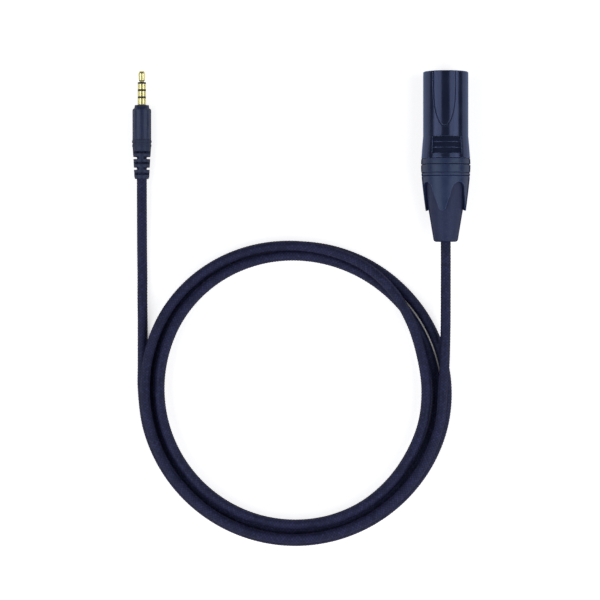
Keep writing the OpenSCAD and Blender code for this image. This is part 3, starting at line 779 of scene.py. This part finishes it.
@dataclass(frozen=True)
class CordRoute:
    """The cord's way from the jack plug round the coil to the connector, in millimetres.

    A lane move or a climb is the turn where it starts, the turn where it ends, and by how many
    lanes or layers. The flat side of the coil is given by its middle and reach, in degrees. The
    plug lap is how far the free cord reaches into each plug.
    """

    cord_d: float = CORD_MM
    coil_r: float = 64.6
    centre: tuple[float, float] = (-2.3, -98.0)
    turns: float = 3.5
    lane_pitch: float = 4.8
    lane_moves: tuple[Point, ...] = (
        (0.64, 0.97, 1.0), (1.66, 1.98, 0.55), (2.3, 2.44, 0.3), (2.51, 2.69, -1.6), (3.15, 3.5, 0.13),
    )
    layer_rise: float = 5.0
    climbs: tuple[Point, ...] = ((1.56, 1.93, 1.0), (3.25, 3.5, 0.15))
    flat: float = 3.7
    flat_middle: float = 68.5
    flat_reach: float = 90.0
    points_per_turn: int = 24
    jack_exit: Point = (-67.12, -9.45, 4.14)
    xlr_exit: Point = (60.88, -36.15, 10.38)
    plug_lap: float = 6.0
    jack_lead: tuple[Point, ...] = (
        (-67.1, -20, 4.05), (-67.1, -30, 3.25), (-67.1, -40, 2.4), (-67, -50, 2.1),
        (-67, -60, 2.1), (-66.9, -70, 2.1), (-66.9, -80, 2.1), (-66.9, -88, 2.1),
    )
    xlr_lead: tuple[Point, ...] = (
        (60.9, -46, 10.4), (60.9, -54, 10.3), (60.9, -62, 10),
        (60.9, -70, 9.5), (60.8, -78, 8.9), (60.6, -86, 8.4),
    )

    def coil_point(self, turn: float) -> Point:
        """Gives the coil's point after some turns.

        Args:
            turn: Turns from the coil's start on the left.

        Returns:
            The point.
        """
        angle = 180 + 360 * turn
        off = abs((angle - self.flat_middle + 180) % 360 - 180)
        lane, layer = (
            sum(move * eased((turn - start) / (end - start)) for start, end, move in moves)
            for moves in (self.lane_moves, self.climbs)
        )
        radius = self.coil_r - self.lane_pitch * lane - self.flat * eased(1 - off / self.flat_reach)
        height = self.cord_d / 2 + self.layer_rise * layer
        way = math.radians(angle)
        return (self.centre[0] + radius * math.cos(way), self.centre[1] + radius * math.sin(way), height)

    def points(self) -> np.ndarray:
        """Gives the whole route, from inside the connector's boot to inside the jack plug.

        Returns:
            Its points, in metres.
        """
        count = round(self.turns * self.points_per_turn)
        loops = [self.coil_point(i / self.points_per_turn) for i in range(count + 1)]
        in_jack, in_boot = (
            (x, y + self.plug_lap, z) for x, y, z in (self.jack_exit, self.xlr_exit)
        )
        route = [in_jack, self.jack_exit, *self.jack_lead, *loops,
                 *reversed(self.xlr_lead), self.xlr_exit, in_boot]
        return np.array(route[::-1], float) * MM


@dataclass(frozen=True)
class BakeSheet:
    """How the jacket is laid out for baking: in rows, with its end caps on one spot.

    The start and the run along the cord are shares of the sheet. Those across are shares of a row.
    """

    rows: int = 10
    spot: float = 0.001
    start: float = 0.005
    run: float = 0.985
    row_start: float = 0.04
    row_run: float = 0.92


@dataclass
class BraidedJacket:
    """A braided jacket: its yarns cross over and under each other. Lengths are in metres.

    A yarn goes once round the cord in one lay. Relief is how far a crossing stands above a gap,
    and the yarn gap is a share of the yarns' pitch.
    """

    diameter: float = CORD_MM * MM
    carriers: int = CARRIERS
    lay: float = 0.010
    rings_per_carrier: int = 4
    relief: float = 0.00013
    yarn_gap: float = 0.25
    sheet: BakeSheet = field(default_factory=BakeSheet)

    @property
    def sides(self) -> int:
        """Points round the cord."""
        return 2 * self.carriers

    def build(self, name: str, route: np.ndarray) -> bpy.types.Mesh:
        """Weaves the jacket round a route.

        Args:
            name: Name of the mesh.
            route: Points that the cord passes through.

        Returns:
            The jacket's mesh, with its own map of the yarns and one for baking.
        """
        line = smooth_line(route, self.lay / (self.carriers * self.rings_per_carrier))
        count = len(line)
        rings, places = np.meshgrid(np.arange(count - 2), np.arange(self.sides), indexing="ij")
        # Each woven face is a diamond over three rings, and each odd ring is turned by half a place
        right = places + rings % 2
        steps = ((0, places), (1, right), (2, places), (1, right - 1))
        woven, totals, stations = (
            np.stack(parts, -1).reshape(-1, len(steps))
            for parts in (
                [(rings + jump) * self.sides + column % self.sides for jump, column in steps],
                [column + (rings + jump) % 2 / 2 for jump, column in steps],
                [rings + jump for jump, _ in steps],
            )
        )
        mesh = bpy.data.meshes.new(name)
        mesh.from_pydata(self._verts(line).tolist(), [], [*woven.tolist(), *self._caps(count)])
        self._map(mesh, totals, stations, count)
        fix = bmesh.new()
        fix.from_mesh(mesh)
        bmesh.ops.recalc_face_normals(fix, faces=fix.faces)
        fix.to_mesh(mesh)
        fix.free()
        mesh.shade_smooth()
        return mesh

    def _verts(self, line: np.ndarray) -> np.ndarray:
        """Sets the points of the yarns round a line.

        Args:
            line: Middle of the cord, one point for each ring.

        Returns:
            The points, ring by ring.
        """
        along = np.gradient(line, axis=0)
        along /= np.linalg.norm(along, axis=1)[:, None]
        side = np.cross(along, (0.0, 0.0, 1.0))
        side /= np.linalg.norm(side, axis=1)[:, None]
        up = np.cross(side, along)
        ring, place = np.meshgrid(np.arange(len(line)), np.arange(self.sides), indexing="ij")
        total = place + (ring % 2) / 2
        crowns = sum(((total + way * ring / 2) / 2 % 1 > self.yarn_gap).astype(float) for way in (1, -1))
        radius = self.diameter / 2 + self.relief * (crowns - 1) / 2
        angle = total * math.pi / self.carriers
        return (
            line[:, None, :]
            + (radius * np.cos(angle))[..., None] * side[:, None, :]
            + (radius * np.sin(angle))[..., None] * up[:, None, :]
        ).reshape(-1, 3)

    def _caps(self, count: int) -> list[tuple[int, ...]]:
        """Closes the jacket's two ends.

        Args:
            count: Rings in all.

        Returns:
            The faces: a row of triangles at each end, and then the two flat ends.
        """
        sides = self.sides
        caps = []
        for outer, inner in ((0, 1), (count - 1, count - 2)):
            shift = outer % 2
            for column in range(sides):
                after = (column + 1) % sides
                caps.append((outer * sides + column, inner * sides + (column + shift) % sides,
                             outer * sides + after))
        final = tuple((count - 1) * sides + column for column in range(sides))
        return [*caps, tuple(range(sides)), final[::-1]]

    def _map(self, mesh: bpy.types.Mesh, totals: np.ndarray, stations: np.ndarray, count: int) -> None:
        """Lays out the two maps.

        Args:
            mesh: The jacket's mesh.
            totals: Place round the cord of each woven face's corners.
            stations: Ring of each of those corners.
            count: Rings in all.
        """
        woven = totals.size
        braid = np.full((len(mesh.loops), 2), 0.5)
        for column, way in enumerate((1, -1)):
            braid[:woven, column] = ((totals + way * stations / 2) / 2).ravel()
        mesh.uv_layers.new(name=BRAID_MAP).data.foreach_set("uv", braid.ravel())
        sheet = self.sheet
        per_row = math.ceil(count / sheet.rows)
        row = stations.min(axis=1, keepdims=True) // per_row
        # A row's last face reaches past its rings, and places run from -0.5 to the count of sides
        along = (stations - row * per_row) / (per_row + 2)
        around = (totals + 0.5) / (self.sides + 1.5)
        bake = np.full((len(mesh.loops), 2), sheet.spot)
        bake[:woven, 0] = (sheet.start + sheet.run * along).ravel()
        bake[:woven, 1] = ((row + sheet.row_start + sheet.row_run * around) / sheet.rows).ravel()
        mesh.uv_layers.new(name=BAKE_MAP).data.foreach_set("uv", bake.ravel())


@dataclass
class Cord:
    """The cord, with its ends inside the plugs."""

    route: CordRoute = field(default_factory=CordRoute)
    jacket: BraidedJacket = field(default_factory=BraidedJacket)
    finish: Finish = CORD_BRAID
    ends: tuple[str, ...] = ("xlr_cable_end", "jack_cable_end")
    end_points: int = 6
    path_step: float = 0.002

    def build(self, palette: Palette) -> bpy.types.Object:
        """Makes the free cord.

        Args:
            palette: The materials.

        Returns:
            The cord.
        """
        piece = self._sheathe("braided_cord", "braided_cord", self.route.points(), palette)
        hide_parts("coil", "jack_lead", "xlr_lead")
        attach(piece, CABLE_BODY)
        return piece

    def build_ends(self, palette: Palette) -> None:
        """Makes the cord's two ends inside the plugs.

        Args:
            palette: The materials.
        """
        for node in self.ends:
            low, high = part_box(node)
            middle = (low + high) / 2
            inside = np.linspace(high.y, low.y + self.route.plug_lap * MM, self.end_points)
            points = np.array([(middle.x, y, middle.z) for y in inside])
            piece = self._sheathe(f"braided_{node}", node, points, palette)
            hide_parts(node)
            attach(piece, CABLE_BODY)

    def declare(self, piece: bpy.types.Object, plug: list[str]) -> None:
        """Args:
            piece: The cord.
            plug: Names of the pieces on its far end; not used.
        """
        line = smooth_line(self.route.points(), self.path_step)
        LOG.info("%s: %.3f m long", piece.name, line_length(line))

    def _sheathe(self, name: str, mesh_name: str, points: np.ndarray,
                 palette: Palette) -> bpy.types.Object:
        """Makes one stretch of the jacket.

        Args:
            name: Name of the piece.
            mesh_name: Name of its mesh.
            points: Points that it passes through.
            palette: The materials.

        Returns:
            The piece.
        """
        mesh = self.jacket.build(mesh_name, points)
        mesh.materials.append(palette.material(self.finish))
        piece = bpy.data.objects.new(name, mesh)
        bpy.context.scene.collection.objects.link(piece)
        LOG.info("%s: %s", name, self.finish.name)
        return piece


# ---------------------------------------------------------------- plugs


@dataclass
class Plug:
    """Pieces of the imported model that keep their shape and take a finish."""

    name: str
    finishes: dict[str, Finish]

    def dress(self, palette: Palette) -> list[str]:
        """Gives each piece its finish.

        Args:
            palette: The materials.

        Returns:
            Names of the dressed pieces.
        """
        for node, finish in self.finishes.items():
            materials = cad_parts[node].data.materials
            material = palette.material(finish)
            if not materials:
                materials.append(material)
            for index in range(len(materials)):
                materials[index] = material
            LOG.info("%s, %s: %s", self.name, node, finish.name)
        return list(self.finishes)


def numbered(stem: str, *finishes: Finish) -> dict[str, Finish]:
    """Gives each finish to one piece, with names that are numbered from 1."""
    return {f"{stem}_{number}": finish for number, finish in enumerate(finishes, start=1)}


CONNECTOR = Plug("connector", {
    "xlr_shell": SHELL_METAL, "xlr_insert": INSERT_PLASTIC,
    **numbered("xlr_contact", CONTACT_GOLD, CONTACT_GOLD, CONTACT_GOLD),
    **numbered("xlr_wire", WIRE_RED, WIRE_WHITE, WIRE_BLUE),
    "xlr_chuck": CHUCK_PLASTIC, "xlr_boot": BOOT_PLASTIC, "collar_ring": COLLAR_PLASTIC,
    "xlr_boot_sleeve": BOOT_RUBBER,
})
JACK = Plug("jack", {
    "jack_tip": PLUG_GOLD, **numbered("jack_ring", PLUG_GOLD, PLUG_GOLD), "jack_sleeve": PLUG_GOLD,
    **numbered("jack_insulator", BAND_PLASTIC, BAND_PLASTIC, BAND_PLASTIC),
    "jack_neck": HANDLE_PLASTIC, "jack_barrel": HANDLE_PLASTIC, "jack_inner_mould": MOULD_PLASTIC,
    "jack_strain_relief": RELIEF_RUBBER,
    **numbered("jack_wire", WIRE_RED, WIRE_WHITE, WIRE_BLUE),
})


def main() -> None:
    """Builds and dresses the cable, piece by piece."""
    logging.basicConfig(level=logging.INFO, format="%(name)s: %(message)s")
    bpy.context.scene.view_settings.view_transform = "Standard"
    studio = Studio()
    studio.place_camera()
    palette = Palette()
    cord = Cord()
    piece = cord.build(palette)
    cord.build_ends(palette)
    CONNECTOR.dress(palette)
    cord.declare(piece, plug=JACK.dress(palette))
    studio.light()
    studio.lay_floor()


if __name__ == "__main__":
    main()
